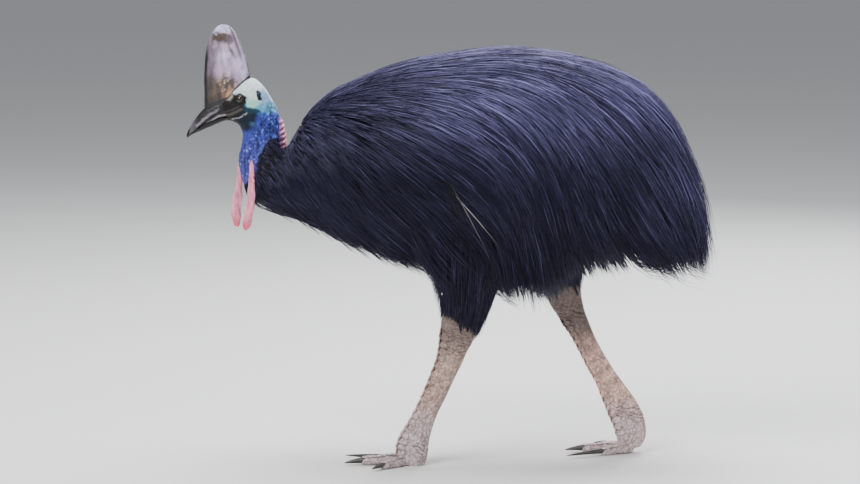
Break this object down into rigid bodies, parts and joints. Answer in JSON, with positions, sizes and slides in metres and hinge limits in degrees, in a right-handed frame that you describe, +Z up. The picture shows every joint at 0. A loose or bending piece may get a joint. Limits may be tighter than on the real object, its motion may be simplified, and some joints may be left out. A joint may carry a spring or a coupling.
{
  "type": "cassowary",
  "caption": "Life-size still model of a southern cassowary in mid stride, with tall casque, bare neck, hanging wattles and a shaggy coat of hair-like feathers.",
  "frame": {"origin": "on the floor, under the middle of the whole bird's bounding box", "axes": "+Z is up, -X is the way the bird faces and walks, -Y is its left side"},
  "size_m": [1.2186, 0.4782, 1.031],
  "materials": {
    "bill": "dark grey horn, worn and lightly glossy, with paler bands along the bill",
    "casque": "brown-grey horn with a mauve sheen, scuffed, nearly black along the front edge",
    "head_skin": "bare skin, pale blue-green behind the eye, black before it, blue at the jaw",
    "eye": "wet, glossy dark brown eye",
    "neck_skin": "bare wrinkled cobalt blue skin with a strip of red folds down the nape",
    "wattle": "soft pink-red bare skin, deeper red towards the tips",
    "plumage": "long, loose, hair-like black feathers with a blue-violet sheen",
    "quill": "bare horn quills, dark with a pale shaft",
    "leg_skin": "grey-brown scaled skin, pinkish and pale at the feet, dark in the creases",
    "claw": "dark grey-brown horn, worn paler at the point"
  },
  "bodies": {
    "root": {"bill_upper": "bill", "bill_lower": "bill", "casque": "casque", "head": "head_skin", "eye_left": "eye", "eye_right": "eye", "neck": "neck_skin", "wattle_left": "wattle", "wattle_right": "wattle", "collar": "plumage", "torso": "plumage", "rump": "plumage", "wing_left": "quill", "wing_right": "quill", "thigh_left": "plumage", "thigh_right": "plumage", "shank_left": "leg_skin", "shank_right": "leg_skin", "toe_inner_left": "leg_skin", "toe_middle_left": "leg_skin", "toe_outer_left": "leg_skin", "toe_inner_right": "leg_skin", "toe_middle_right": "leg_skin", "toe_outer_right": "leg_skin", "claw_inner_left": "claw", "claw_middle_left": "claw", "claw_outer_left": "claw", "claw_inner_right": "claw", "claw_middle_right": "claw", "claw_outer_right": "claw"}
  },
  "joints": []
}
